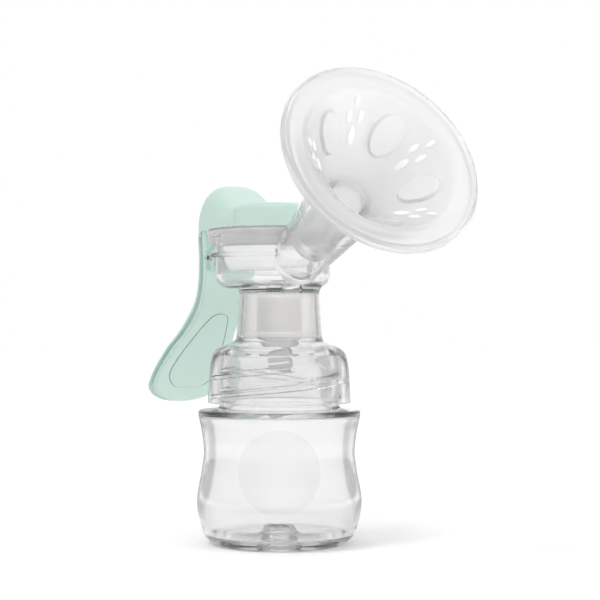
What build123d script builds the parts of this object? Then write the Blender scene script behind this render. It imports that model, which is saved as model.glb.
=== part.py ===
"""Hand breast pump: a clear bottle, a clear pump body screwed on it, a silicone
cushion in the body's funnel, and a lever handle that lifts a diaphragm.

Millimetres, +Z up.  The origin is the centre of the bottle's foot.  +X points
the way the funnel leans, and the object is symmetric about the plane Y = 0.
"""

import math
import os

from build123d import *

os.makedirs("parts", exist_ok=True)

# ---------------------------------------------------------------- driving sizes
WALL = 2.0                      # clear polypropylene mouldings

# bottle
BELLY_R = 35.5
WAIST_R = 32.5
FOOT_R = 28.0
SHOULDER_Z = 57.6
NECK_R = 25.0
NECK_TOP = 80.6
MOUTH_R = 22.6
FLOOR_Z = 4.0

# screw thread between the bottle and the collar
THREAD_LEAD = 16.0
THREAD_STARTS = 2
THREAD_RISE = 12.6              # height that one ridge climbs
THREAD_HEIGHT = 1.3
THREAD_ROOT = 2.2               # ridge width at its root
THREAD_CREST = 1.1
MALE_START_Z = 65.1             # ridge centre at its lower end
FEMALE_START_Z = 62.6
THREAD_START_ANGLE = -117.65    # degrees from +X, of the first ridge's lower end

# collar, shoulder and neck of the pump body
COLLAR_Z = 60.6
COLLAR_R = 30.7
COLLAR_TOP_R = 28.6
COLLAR_TOP_Z = 81.4
COLLAR_BORE_R = 27.2
NECK_FOOT_R = 18.4
NECK_HEAD_R = 17.2

# cup over the neck, set back from the bottle's axis
CUP_X = -6.3
CUP_R = 24.9
CUP_Z = 109.6
CUP_RIM_Z = 134.4
FLANGE_Z = 122.9
FLANGE_H = 1.9

# lever pivot, on a ledge behind the cup
PIVOT_X = -38.5
PIVOT_Z = FLANGE_Z + FLANGE_H / 2
PIVOT_R = 1.25
LEDGE_END_X = -41.4
LEDGE_HALF = 17.6
NOTCH_HALF = 13.4

# funnel: mouth centre and lean above the horizontal
MOUTH_X = 86.2
MOUTH_Z = 159.4
LEAN = 28.4
LIP_R = 42.5                    # outside of the cushion's lip
BAND_R = 32.4                   # inner edge of the lip's flat band
SHELL_R = 39.8                  # hard funnel's rim
RIM_S = -2.4                    # along the funnel's axis, from the mouth
THROAT_R = 7.3
THROAT_S = -30.2
TUNNEL_END_S = -65.0
TUBE_R = 11.2                   # outside of the tube at its lower end
TUBE_END_S = -79.0

# stem and diaphragm
BALL_R = 3.5
BALL_Z = 140.0
STEM_R = 2.1
DIAPHRAGM_Z = 117.4
SKIRT_R = 28.6
SKIRT_Z = 128.2
RIM_TOP_Z = 135.8

RUNNING = 0.3                   # gap between pieces that move past each other
FIT = 0.05                      # gap between pieces that fit on each other
THROUGH = 120                   # length of a cut that passes right through

mouth = Vector(MOUTH_X, 0, MOUTH_Z)
lean = math.radians(LEAN)
funnel_dir = Vector(math.cos(lean), 0, math.sin(lean))
funnel_up = Vector(-math.sin(lean), 0, math.cos(lean))
funnel_plane = Plane(origin=mouth, x_dir=funnel_up, z_dir=(0, 1, 0))
funnel_axis = Axis(mouth, funnel_dir)
cup_plane = Plane.XZ.move(Location((CUP_X, 0, 0)))
cup_axis = Axis((CUP_X, 0, 0), (0, 0, 1))


def finish(part, name):
    """Label a finished piece and write it as the STEP file of its node."""
    part.label = name
    export_step(part, f"parts/{name}.step")


def thread_ridges(radius, start_z, outward):
    """Helical ridges on a wall of that radius, pointing out of it or into it."""
    side = 1 if outward else -1
    root = radius - side * 0.4
    crest = radius + side * THREAD_HEIGHT
    ridges = []
    for start in range(THREAD_STARTS):
        angle = THREAD_START_ANGLE + start * 360 / THREAD_STARTS
        helix = Helix(
            pitch=THREAD_LEAD, height=THREAD_RISE, radius=radius, mode=Mode.PRIVATE
        )
        section = Polyline(
            (root, -THREAD_ROOT / 2),
            (crest, -THREAD_CREST / 2),
            (crest, THREAD_CREST / 2),
            (root, THREAD_ROOT / 2),
            close=True,
            mode=Mode.PRIVATE,
        )
        face = make_face(Plane.XZ * section, mode=Mode.PRIVATE)
        ridge = sweep(face, path=helix, is_frenet=True, mode=Mode.PRIVATE)
        ridges.append(Location((0, 0, start_z), (0, 0, angle)) * ridge)
    return ridges


# ---------------------------------------------------------------- bottle
male_ridges = thread_ridges(NECK_R, MALE_START_Z, outward=True)

with BuildPart() as bottle:
    with BuildSketch(Plane.XZ):
        with BuildLine():
            Line((0, 0.9), (20.5, 2.2))
            ThreePointArc((20.5, 2.2), (23, 1.1), (24.5, 0))
            Line((24.5, 0), (FOOT_R, 0))
            ThreePointArc((FOOT_R, 0), (30.5, 0.9), (31.7, 3.0))
            Spline(
                (31.7, 3.0),
                (33.9, 8.6),
                (BELLY_R, 18.7),
                (33.4, 31.6),
                (WAIST_R, 40.0),
                (33.5, 48.8),
                (34.8, 55.0),
                tangents=[(0.35, 1), (0.12, 1)],
            )
            ThreePointArc((34.8, 55.0), (34.4, 57.0), (32.6, SHOULDER_Z))
            Line((32.6, SHOULDER_Z), (26.4, 58.5))
            Line((26.4, 58.5), (25.7, 59.2))
            Line((25.7, 59.2), (25.7, 60.9))
            Line((25.7, 60.9), (NECK_R, 61.5))
            Line((NECK_R, 61.5), (NECK_R, NECK_TOP - 0.8))
            ThreePointArc(
                (NECK_R, NECK_TOP - 0.8),
                ((NECK_R + MOUTH_R) / 2, NECK_TOP),
                (MOUTH_R, NECK_TOP - 0.8),
            )
            Line((MOUTH_R, NECK_TOP - 0.8), (MOUTH_R, 59.0))
            ThreePointArc((MOUTH_R, 59.0), (23.3, 57.2), (25.0, 56.4))
            Line((25.0, 56.4), (31.2, 55.6))
            ThreePointArc((31.2, 55.6), (32.5, 54.9), (32.8, 53.6))
            Spline(
                (32.8, 53.6),
                (31.6, 48.6),
                (WAIST_R - 1.8, 40.0),
                (31.6, 31.4),
                (BELLY_R - 1.8, 18.9),
                (32.2, 9.6),
                (30.8, 6.2),
                tangents=[(-0.12, -1), (-0.5, -1)],
            )
            ThreePointArc((30.8, 6.2), (29.4, 4.5), (27.0, FLOOR_Z))
            Line((27.0, FLOOR_Z), (9.5, FLOOR_Z + 0.2))
            Line((9.5, FLOOR_Z + 0.2), (6.0, 7.6))
            ThreePointArc((6.0, 7.6), (4.9, 8.4), (3.6, 8.6))
            Line((3.6, 8.6), (0, 8.6))
            Line((0, 8.6), (0, 0.9))
        make_face()
    revolve(axis=Axis.Z)
    with BuildSketch(Plane.XZ):
        # hollow under the raised middle of the floor
        Polygon((0, 0), (7.4, 0), (7.4, 2.6), (4.2, 6.6), (0, 6.8), align=None)
    revolve(axis=Axis.Z, mode=Mode.SUBTRACT)
    for ridge in male_ridges:
        add(ridge)
finish(bottle.part, "bottle")

# ---------------------------------------------------------------- pump body
female_ridges = thread_ridges(COLLAR_BORE_R, FEMALE_START_Z, outward=False)

# inside of the funnel and tube, which passes under the diaphragm's seat
with BuildPart() as funnel_bore:
    with BuildSketch(funnel_plane):
        with BuildLine():
            Line((0, 1), (38.6, 1))
            Line((38.6, 1), (38.6, RIM_S - 0.2))
            Spline(
                (38.6, RIM_S - 0.2),
                (30.2, -8.0),
                (20.4, -19.4),
                (15.1, -30.2),
                (TUBE_R + 0.8, -47.0),
                tangents=[(-1, -0.35), (-0.13, -1)],
            )
            Line((TUBE_R + 0.8, -47.0), (TUBE_R - WALL, TUBE_END_S))
            Line((TUBE_R - WALL, TUBE_END_S), (0, TUBE_END_S))
            Line((0, TUBE_END_S), (0, 1))
        make_face()
    revolve(axis=funnel_axis)
    with BuildSketch(Plane.XY.offset(SKIRT_Z - 0.5 - WALL)):
        with Locations((CUP_X, 0)):
            Circle(SKIRT_R + 0.5 + WALL)
    extrude(amount=30, mode=Mode.SUBTRACT)

with BuildPart() as pump_body:
    # collar, shoulder and neck
    with BuildSketch(Plane.XZ):
        with BuildLine():
            Line((0, COLLAR_Z), (COLLAR_R, COLLAR_Z))
            Spline(
                (COLLAR_R, COLLAR_Z),
                (30.3, 69.0),
                (COLLAR_TOP_R, COLLAR_TOP_Z),
                tangents=[(0, 1), (-0.35, 1)],
            )
            ThreePointArc((COLLAR_TOP_R, COLLAR_TOP_Z), (27.4, 83.2), (25.4, 84.4))
            Line((25.4, 84.4), (20.4, 86.6))
            ThreePointArc((20.4, 86.6), (18.9, 87.7), (NECK_FOOT_R - 0.05, 89.6))
            Line((NECK_FOOT_R - 0.05, 89.6), (NECK_HEAD_R, 107.0))
            ThreePointArc((NECK_HEAD_R, 107.0), (17.6, 109.0), (18.8, 111.0))
            Line((18.8, 111.0), (0, 111.0))
            Line((0, 111.0), (0, COLLAR_Z))
        make_face()
    revolve(axis=Axis.Z)
    # cup, its flange and the rim that carries the diaphragm
    with BuildSketch(cup_plane):
        with BuildLine():
            Line((0, CUP_Z), (CUP_R - 6.5, CUP_Z))
            RadiusArc((CUP_R - 6.5, CUP_Z), (CUP_R, CUP_Z + 6.5), -6.5)
            Line((CUP_R, CUP_Z + 6.5), (CUP_R, FLANGE_Z))
            Line((CUP_R, FLANGE_Z), (26.8, FLANGE_Z))
            RadiusArc((26.8, FLANGE_Z), (26.8, FLANGE_Z + FLANGE_H), -FLANGE_H / 2 - 0.01)
            Line((26.8, FLANGE_Z + FLANGE_H), (25.3, FLANGE_Z + FLANGE_H))
            Line((25.3, FLANGE_Z + FLANGE_H), (25.3, 131.6))
            Line((25.3, 131.6), (26.0, 132.4))
            Line((26.0, 132.4), (26.0, CUP_RIM_Z))
            Line((26.0, CUP_RIM_Z), (0, CUP_RIM_Z))
            Line((0, CUP_RIM_Z), (0, CUP_Z))
        make_face()
    revolve(axis=cup_axis)
    # ledge behind the cup, notched for the lever's hooks, with the bar they clip on
    with BuildSketch(Plane.XY.offset(FLANGE_Z)):
        with Locations(((LEDGE_END_X - 20) / 2, 0)):
            Rectangle(-20 - LEDGE_END_X, 2 * LEDGE_HALF)
        fillet(vertices().group_by(Axis.X)[0], 3.4)
        with Locations((LEDGE_END_X, 0)):
            Rectangle(2 * (PIVOT_X - LEDGE_END_X) + 7.0, 2 * NOTCH_HALF, mode=Mode.SUBTRACT)
    extrude(amount=FLANGE_H)
    with BuildSketch(Plane.XZ.offset(-NOTCH_HALF - 1)):
        with Locations((PIVOT_X, PIVOT_Z)):
            Circle(PIVOT_R)
    extrude(amount=2 * NOTCH_HALF + 2)
    # funnel shell and tube
    with BuildSketch(funnel_plane):
        with BuildLine():
            Line((0, RIM_S), (SHELL_R - 0.8, RIM_S))
            ThreePointArc(
                (SHELL_R - 0.8, RIM_S), (SHELL_R, RIM_S - 1), (SHELL_R - 0.8, RIM_S - 2)
            )
            Spline(
                (SHELL_R - 0.8, RIM_S - 2),
                (31.4, -9.8),
                (22.2, -20.2),
                (17.0, -30.6),
                (TUBE_R + 2.8, -47.0),
                tangents=[(-1, -0.35), (-0.13, -1)],
            )
            Line((TUBE_R + 2.8, -47.0), (TUBE_R, TUBE_END_S))
            Line((TUBE_R, TUBE_END_S), (0, TUBE_END_S))
            Line((0, TUBE_END_S), (0, RIM_S))
        make_face()
    revolve(axis=funnel_axis)
    with Locations(mouth + funnel_dir * TUBE_END_S):
        Sphere(TUBE_R)

    # inside of the collar and neck
    with BuildSketch(Plane.XZ):
        Polygon(
            (0, COLLAR_Z - 1), (COLLAR_BORE_R, COLLAR_Z - 1), (COLLAR_BORE_R, 80.9),
            (21.2, 80.9), (21.2, 83.4), (16.4, 86.0), (15.2, 107.4), (0, 107.4),
            align=None,
        )
    revolve(axis=Axis.Z, mode=Mode.SUBTRACT)
    # inside of the cup, and the passage from it down to the neck
    with BuildSketch(cup_plane):
        with BuildLine():
            Line((0, CUP_Z + WALL), (CUP_R - 6.5, CUP_Z + WALL))
            RadiusArc(
                (CUP_R - 6.5, CUP_Z + WALL), (CUP_R - WALL, CUP_Z + 6.5), -4.5
            )
            Line((CUP_R - WALL, CUP_Z + 6.5), (CUP_R - WALL, CUP_RIM_Z + 1))
            Line((CUP_R - WALL, CUP_RIM_Z + 1), (0, CUP_RIM_Z + 1))
            Line((0, CUP_RIM_Z + 1), (0, CUP_Z + WALL))
        make_face()
    revolve(axis=cup_axis, mode=Mode.SUBTRACT)
    with BuildSketch(Plane.XY.offset(104)):
        with Locations((5.0, 0)):
            SlotOverall(18.0, 9.0)
    extrude(amount=12, mode=Mode.SUBTRACT)
    # seat of the diaphragm's skirt, let into the tube's upper side
    with BuildSketch(cup_plane):
        Polygon(
            (25.3, SKIRT_Z - 0.5), (SKIRT_R + 0.5, SKIRT_Z - 0.5), (SKIRT_R + 0.5, 160),
            (0, 160), (0, CUP_RIM_Z), (26.0, CUP_RIM_Z), (26.0, 132.4), (25.3, 131.6),
            align=None,
        )
    revolve(axis=cup_axis, mode=Mode.SUBTRACT)
    add(funnel_bore.part, mode=Mode.SUBTRACT)
    for ridge in female_ridges:
        add(ridge)
finish(pump_body.part, "pump_body")

# ---------------------------------------------------------------- massage cushion
with BuildPart() as massage_cushion:
    with BuildSketch(funnel_plane):
        with BuildLine():
            Line((THROAT_R - 0.2, TUNNEL_END_S), (THROAT_R - 0.2, THROAT_S - 1.6))
            Line((THROAT_R - 0.2, THROAT_S - 1.6), (THROAT_R + 1.2, THROAT_S))
            Line((THROAT_R + 1.2, THROAT_S), (BAND_R - 1.4, -2.2))
            ThreePointArc((BAND_R - 1.4, -2.2), (BAND_R - 0.4, -1.1), (BAND_R + 1, -0.7))
            Line((BAND_R + 1, -0.7), (LIP_R - 1.3, -0.1))
            ThreePointArc((LIP_R - 1.3, -0.1), (LIP_R - 0.3, -0.5), (LIP_R, -1.6))
            Line((LIP_R, -1.6), (41.3, -4.3))
            ThreePointArc((41.3, -4.3), (40.8, -4.8), (SHELL_R + RUNNING, -4.4))
            Line((SHELL_R + RUNNING, -4.4), (SHELL_R + RUNNING, RIM_S + RUNNING))
            Line((SHELL_R + RUNNING, RIM_S + RUNNING), (BAND_R + 1.4, RIM_S))
            Line((BAND_R + 1.4, RIM_S), (BAND_R - 0.4, -3.5))
            Line((BAND_R - 0.4, -3.5), (THROAT_R + 3.6, -29.6))
            ThreePointArc(
                (THROAT_R + 3.6, -29.6), (THROAT_R + 2.1, -32.0), (THROAT_R + 1.6, -34.6)
            )
            Line((THROAT_R + 1.6, -34.6), (THROAT_R + 1.6, -58.0))
            Line((THROAT_R + 1.6, -58.0), (THROAT_R + 2.6, -59.2))
            Line((THROAT_R + 2.6, -59.2), (THROAT_R + 2.5, -61.2))
            Line((THROAT_R + 2.5, -61.2), (THROAT_R + 1.4, -62.4))
            Line((THROAT_R + 1.4, -62.4), (THROAT_R + 1.4, TUNNEL_END_S))
            Line((THROAT_R + 1.4, TUNNEL_END_S), (THROAT_R - 0.2, TUNNEL_END_S))
        make_face()
    revolve(axis=funnel_axis)
finish(massage_cushion.part, "massage_cushion")

# ---------------------------------------------------------------- duckbill valve
VALVE_TOP = 106.9
VALVE_FOOT = 88.4
LIP_Z = 73.0


def beak(radius, half_gap, top, foot):
    """A cone pinched to a flat beak: wide along X, thin along Y at its foot."""
    with BuildPart() as solid:
        with BuildSketch(Plane.XZ):
            Polygon((0, top), (radius, top), (radius - 1.8, foot), (0, foot), align=None)
        revolve(axis=Axis.Z)
        with BuildSketch(Plane.YZ):
            Polygon(
                (-radius, top), (-half_gap, foot), (half_gap, foot), (radius, top),
                align=None,
            )
        extrude(amount=20, both=True, mode=Mode.INTERSECT)
    return solid.part


beak_outside = beak(10.4, 1.5, VALVE_FOOT, LIP_Z)
beak_inside = beak(9.1, 0.3, VALVE_FOOT, LIP_Z)

with BuildPart() as duckbill_valve:
    with BuildSketch(Plane.XZ):
        Polygon(
            (0, VALVE_FOOT), (15.4, VALVE_FOOT), (15.4, VALVE_FOOT + 1.8),
            (14.9, VALVE_FOOT + 2.4), (14.5, VALVE_TOP - 0.6), (13.9, VALVE_TOP),
            (0, VALVE_TOP),
            align=None,
        )
    revolve(axis=Axis.Z)
    add(beak_outside)
    with BuildSketch(Plane.XZ):
        Polygon(
            (0, VALVE_FOOT), (9.1, VALVE_FOOT), (12.7, VALVE_FOOT + 3.0),
            (12.4, VALVE_TOP - 2.4), (9.0, VALVE_TOP - 1.6), (9.0, VALVE_TOP),
            (0, VALVE_TOP),
            align=None,
        )
    revolve(axis=Axis.Z, mode=Mode.SUBTRACT)
    add(beak_inside, mode=Mode.SUBTRACT)
finish(duckbill_valve.part, "duckbill_valve")

# ---------------------------------------------------------------- diaphragm
with BuildPart() as diaphragm:
    with BuildSketch(cup_plane):
        with BuildLine():
            Line((2.5, DIAPHRAGM_Z), (15.0, DIAPHRAGM_Z))
            ThreePointArc((15.0, DIAPHRAGM_Z), (18.4, DIAPHRAGM_Z + 1.1), (20.6, 120.6))
            Line((20.6, 120.6), (22.5, 130.0))
            Line((22.5, 130.0), (22.5, CUP_RIM_Z + RUNNING))
            Line((22.5, CUP_RIM_Z + RUNNING), (26.3, CUP_RIM_Z + RUNNING))
            Line((26.3, CUP_RIM_Z + RUNNING), (26.3, 132.3))
            Line((26.3, 132.3), (25.7, 131.5))
            Line((25.7, 131.5), (25.7, SKIRT_Z))
            Line((25.7, SKIRT_Z), (27.2, SKIRT_Z))
            Line((27.2, SKIRT_Z), (SKIRT_R, RIM_TOP_Z - 1.0))
            ThreePointArc(
                (SKIRT_R, RIM_TOP_Z - 1.0),
                (SKIRT_R - 0.4, RIM_TOP_Z - 0.2),
                (SKIRT_R - 1.2, RIM_TOP_Z),
            )
            Line((SKIRT_R - 1.2, RIM_TOP_Z), (22.0, RIM_TOP_Z))
            ThreePointArc((22.0, RIM_TOP_Z), (21.2, RIM_TOP_Z - 0.4), (20.9, 134.6))
            Line((20.9, 134.6), (20.9, 130.3))
            Line((20.9, 130.3), (19.0, 121.3))
            ThreePointArc((19.0, 121.3), (17.4, 119.8), (15.0, DIAPHRAGM_Z + 1.6))
            Line((15.0, DIAPHRAGM_Z + 1.6), (2.5, DIAPHRAGM_Z + 1.6))
            Line((2.5, DIAPHRAGM_Z + 1.6), (2.5, DIAPHRAGM_Z))
        make_face()
    revolve(axis=cup_axis)
finish(diaphragm.part, "diaphragm")

# ---------------------------------------------------------------- stem
with BuildPart() as stem:
    with BuildSketch(cup_plane):
        Polygon(
            (0, 115.0), (7.6, 115.0), (7.6, DIAPHRAGM_Z - FIT), (STEM_R, DIAPHRAGM_Z - FIT),
            (STEM_R, DIAPHRAGM_Z + 1.6 + FIT), (6.2, DIAPHRAGM_Z + 1.6 + FIT),
            (6.2, DIAPHRAGM_Z + 2.9), (STEM_R + 1.1, DIAPHRAGM_Z + 4.2),
            (STEM_R, DIAPHRAGM_Z + 8.0), (STEM_R, BALL_Z), (0, BALL_Z),
            align=None,
        )
    revolve(axis=cup_axis)
    with Locations((CUP_X, 0, BALL_Z)):
        Sphere(BALL_R)
finish(stem.part, "stem")

# ---------------------------------------------------------------- handle
# Side view of the lever: the inner face's line, tip first, as (X, Z).
INNER_LINE = [
    (-102.0, 55.0), (-97.0, 61.0), (-90.0, 70.0), (-80.6, 79.5), (-69.0, 89.5),
    (-58.0, 99.0), (-51.2, 109.0), (-47.4, 121.0), (-46.2, 133.4),
]
LEVER_T = 8.0                   # through both shells
OUTER_T = 4.2                   # outer shell
SEAM_T = 1.2                    # shadow gap along the edge between the shells
SEAM_IN = 1.6
# Front view of the lever: (half width, Z), tip first.
HALF_WIDTHS = [
    (17.8, 66.5), (17.2, 73.5), (15.2, 83.0), (12.8, 90.0), (11.9, 97.5), (12.0, 107.0),
    (13.2, 120.0), (14.4, 134.0), (14.6, 142.0),
]
HUMP_TOP = 156.6
TIP_Z = 56.6
HOOD_R = 17.2
HOOD_TOP = 146.5
HOOD_FOOT = 134.4
ARM_FOOT = 136.2
HOOK_Y = 8.6                    # middle of each hook that clips on the pivot bar
HOOK_W = 5.0
PAD_HALF = 11.8
PAD_TOP_Z = 99.0
PAD_FOOT_Z = 63.4
PAD_IN = 0.7                    # depth of the pad's pocket
PAD_PROUD = 0.35


def offset_line(points, distance):
    """The same line moved to its left by that distance, point by point."""
    moved = []
    for index, (x, z) in enumerate(points):
        before = points[max(index - 1, 0)]
        after = points[min(index + 1, len(points) - 1)]
        run = (after[0] - before[0], after[1] - before[1])
        size = math.hypot(*run)
        moved.append((x - run[1] / size * distance, z + run[0] / size * distance))
    return moved


def lever_slab(near, far):
    """Side view between two lines parallel to the inner face, 60 wide."""
    inner = offset_line(INNER_LINE, near)
    outer = offset_line(INNER_LINE, far)
    with BuildPart() as slab:
        with BuildSketch(Plane.XZ):
            with BuildLine():
                Spline(*inner)
                Spline(*outer)
                Line(inner[0], outer[0])
                Line(inner[-1], outer[-1])
            make_face()
        extrude(amount=30, both=True)
    return slab.part


def front_outline(inset):
    """Front view of the lever and hump as a solid along X, its edge moved inwards."""
    side = [(width - inset, z) for width, z in HALF_WIDTHS]
    top = (0, HUMP_TOP - inset)
    tip = (0, TIP_Z + inset)
    with BuildPart() as outline:
        with BuildSketch(Plane.YZ):
            with BuildLine():
                Spline(*side)
                Spline(
                    side[-1], (13.0 - inset, 150.6), (8.6 - inset, 155.2 - inset / 2), top,
                    tangents=[(-0.1, 1), (-1, 0)],
                )
                Spline(
                    tip, (9.4 - inset / 3, 57.9 + inset), (14.8 - inset, 61.0 + inset / 2),
                    side[0], tangents=[(1, 0), (0.02, 1)],
                )
                Line(tip, top)
            make_face()
        extrude(amount=THROUGH, both=True)
        mirror(about=Plane.XZ)
    return outline.part


outline = front_outline(0)
outline_inset = front_outline(SEAM_IN)
inner_skin = lever_slab(0, LEVER_T - OUTER_T - SEAM_T)
inner_core = lever_slab(LEVER_T - OUTER_T - SEAM_T, LEVER_T - OUTER_T - FIT)
outer_skin = lever_slab(LEVER_T - OUTER_T, LEVER_T)

with BuildPart() as handle_outer_shell:
    # hump, from the side, on top of the lever's outer skin
    with BuildSketch(Plane.XZ):
        with BuildLine():
            Line((-54.2, 133.4), (-54.0, 142.0))
            Spline(
                (-54.0, 142.0),
                (-52.4, 150.6),
                (-47.0, 156.0),
                (-43.4, HUMP_TOP),
                (-36.0, 153.8),
                (-28.0, 149.2),
                (-20.0, 146.9),
                (-12.0, HOOD_TOP),
                tangents=[(0, 1), (1, 0)],
            )
            Line((-12.0, HOOD_TOP), (-12.0, ARM_FOOT))
            Line((-12.0, ARM_FOOT), (-46.1, ARM_FOOT))
            Line((-46.1, ARM_FOOT), (-46.1, 134.4))
            Line((-46.1, 134.4), (-50.3, 134.4))
            Line((-50.3, 134.4), (-50.2, 132.0))
            Line((-50.2, 132.0), (-54.2, 133.4))
        make_face()
    extrude(amount=30, both=True)
    add(outer_skin)
    add(outline, mode=Mode.INTERSECT)
    # hood over the stem
    with BuildSketch(cup_plane):
        with BuildLine():
            Line((0, HOOD_FOOT), (HOOD_R, HOOD_FOOT))
            Line((HOOD_R, HOOD_FOOT), (HOOD_R - 0.4, HOOD_TOP - 4.2))
            ThreePointArc(
                (HOOD_R - 0.4, HOOD_TOP - 4.2),
                (HOOD_R - 1.8, HOOD_TOP - 1.4),
                (HOOD_R - 4.8, HOOD_TOP - 0.2),
            )
            Line((HOOD_R - 4.8, HOOD_TOP - 0.2), (0, HOOD_TOP))
            Line((0, HOOD_TOP), (0, HOOD_FOOT))
        make_face()
    revolve(axis=cup_axis)
    # hollow of the hump and arm
    with BuildSketch(Plane.XZ):
        Polygon(
            (-50.6, ARM_FOOT - 1), (-50.6, 143.0), (-48.6, 150.4), (-43.8, 153.4),
            (-38.0, 151.6), (-31.0, 147.6), (-31.0, ARM_FOOT - 1),
            align=None,
        )
    extrude(amount=10.2, both=True, mode=Mode.SUBTRACT)
    # pocket for the stem's ball, and the slot that its neck slides in
    with BuildSketch(Plane.XY.offset(BALL_Z - BALL_R - 0.4)):
        with Locations((CUP_X + 4.6, 0)):
            SlotOverall(20.0, 9.4)
    extrude(amount=2 * BALL_R + 1.8, mode=Mode.SUBTRACT)
    with BuildSketch(Plane.XY.offset(HOOD_FOOT - 1)):
        with Locations((CUP_X + 4.2, 0)):
            SlotOverall(15.4, 5.6)
    extrude(amount=6, mode=Mode.SUBTRACT)
finish(handle_outer_shell.part, "handle_outer_shell")

with BuildPart() as handle_grip_pad:
    with BuildSketch(Plane.YZ):
        with BuildLine():
            Spline(
                (0, PAD_FOOT_Z), (7.6, 64.8), (PAD_HALF, 71.0), (9.9, 81.0), (6.6, 91.5),
                (3.8, 97.4), (0, PAD_TOP_Z),
                tangents=[(1, 0), (-1, 0)],
            )
            Line((0, PAD_TOP_Z), (0, PAD_FOOT_Z))
        make_face()
    extrude(amount=THROUGH, both=True)
    mirror(about=Plane.XZ)
    add(lever_slab(-PAD_PROUD, PAD_IN), mode=Mode.INTERSECT)
finish(handle_grip_pad.part, "handle_grip_pad")

with BuildPart() as handle_inner_shell:
    add(inner_core)
    add(outline_inset, mode=Mode.INTERSECT)
    add(inner_skin.intersect(outline))
    # hooks that clip on the ledge's bar
    with BuildSketch(Plane.XZ):
        with BuildLine():
            Line((-47.0, PIVOT_Z + 4.6), (PIVOT_X, PIVOT_Z + 2.8))
            ThreePointArc(
                (PIVOT_X, PIVOT_Z + 2.8), (PIVOT_X + 2.8, PIVOT_Z), (PIVOT_X, PIVOT_Z - 2.8)
            )
            Line((PIVOT_X, PIVOT_Z - 2.8), (-47.0, PIVOT_Z - 5.6))
            Line((-47.0, PIVOT_Z - 5.6), (-47.0, PIVOT_Z + 4.6))
        make_face()
        with Locations((PIVOT_X, PIVOT_Z)):
            Circle(PIVOT_R + FIT, mode=Mode.SUBTRACT)
    extrude(amount=HOOK_Y + HOOK_W / 2, both=True)
    with BuildSketch(Plane.XZ):
        with Locations((PIVOT_X, PIVOT_Z)):
            Rectangle(15.0, 14.0)
    extrude(amount=HOOK_Y - HOOK_W / 2, both=True, mode=Mode.SUBTRACT)
    add(handle_grip_pad.part, mode=Mode.SUBTRACT)
finish(handle_inner_shell.part, "handle_inner_shell")
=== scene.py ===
import math

import bpy
import numpy as np
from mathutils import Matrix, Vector


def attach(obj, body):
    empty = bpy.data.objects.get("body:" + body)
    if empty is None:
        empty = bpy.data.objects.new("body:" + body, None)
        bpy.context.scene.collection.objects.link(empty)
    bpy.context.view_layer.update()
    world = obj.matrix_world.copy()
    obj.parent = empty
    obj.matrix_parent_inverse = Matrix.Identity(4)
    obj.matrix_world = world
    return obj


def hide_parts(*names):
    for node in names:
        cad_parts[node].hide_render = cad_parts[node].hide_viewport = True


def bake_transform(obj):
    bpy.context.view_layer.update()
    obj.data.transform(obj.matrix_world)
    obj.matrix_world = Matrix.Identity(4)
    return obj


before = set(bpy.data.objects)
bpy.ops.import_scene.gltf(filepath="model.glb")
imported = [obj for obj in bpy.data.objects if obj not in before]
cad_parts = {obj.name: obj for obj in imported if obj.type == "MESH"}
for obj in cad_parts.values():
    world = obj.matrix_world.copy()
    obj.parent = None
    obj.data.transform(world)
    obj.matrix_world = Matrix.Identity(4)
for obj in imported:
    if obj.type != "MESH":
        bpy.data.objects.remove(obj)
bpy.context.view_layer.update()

mm = 0.001
sharpAngle = 35.0        # degrees, edges sharper than this are drawn as edges
mergeWithin = 2e-7       # metres, points nearer than this are one point
print("frame loaded:", ", ".join(sorted(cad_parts)))


def linear(hexColour):
    # sRGB hex to linear RGBA
    values = [int(hexColour[k:k + 2], 16) / 255 for k in (1, 3, 5)]
    return [v / 12.92 if v <= 0.04045 else ((v + 0.055) / 1.055) ** 2.4 for v in values] + [1.0]


def addNode(tree, kind, values=None, links=None, **settings):
    # one node: settings are its own properties, values fill its sockets, links feed them
    node = tree.nodes.new(kind)
    for key, value in settings.items():
        setattr(node, key, value)
    for key, value in (values or {}).items():
        node.inputs[key].default_value = value
    for key, socket in (links or {}).items():
        tree.links.new(socket, node.inputs[key])
    return node


def mouldedMaterial(name, shader, waves=None, grain=None, absorbs=None):
    # a moulded surface: a shader, with slow waviness and fine grain as (size in mm, height in mm);
    # absorbs is the density per metre of a nearly neutral tint, so that long ways through it look grey
    material = bpy.data.materials.new(name)
    material.use_nodes = True
    tree = material.node_tree
    tree.nodes.clear()
    surface = addNode(tree, "ShaderNodeBsdfPrincipled", shader)
    output = addNode(tree, "ShaderNodeOutputMaterial", links={"Surface": surface.outputs["BSDF"]})
    if absorbs:
        inside = addNode(
            tree, "ShaderNodeVolumeAbsorption", {"Color": (0.03, 0.02, 0.01, 1), "Density": absorbs}
        )
        tree.links.new(inside.outputs["Volume"], output.inputs["Volume"])
    place = addNode(tree, "ShaderNodeTexCoord")
    normal = None
    for spec in (waves, grain):
        if spec is None:
            continue
        size, height = spec
        noise = addNode(
            tree, "ShaderNodeTexNoise", {"Scale": 1 / (size * mm), "Detail": 2.0},
            {"Vector": place.outputs["Object"]},
        )
        bump = addNode(
            tree, "ShaderNodeBump", {"Strength": 1.0, "Distance": height * mm},
            {"Height": noise.outputs["Fac"]},
        )
        if normal is not None:
            tree.links.new(normal, bump.inputs["Normal"])
        normal = bump.outputs["Normal"]
    if normal is not None:
        tree.links.new(normal, surface.inputs["Normal"])
    return material


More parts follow.
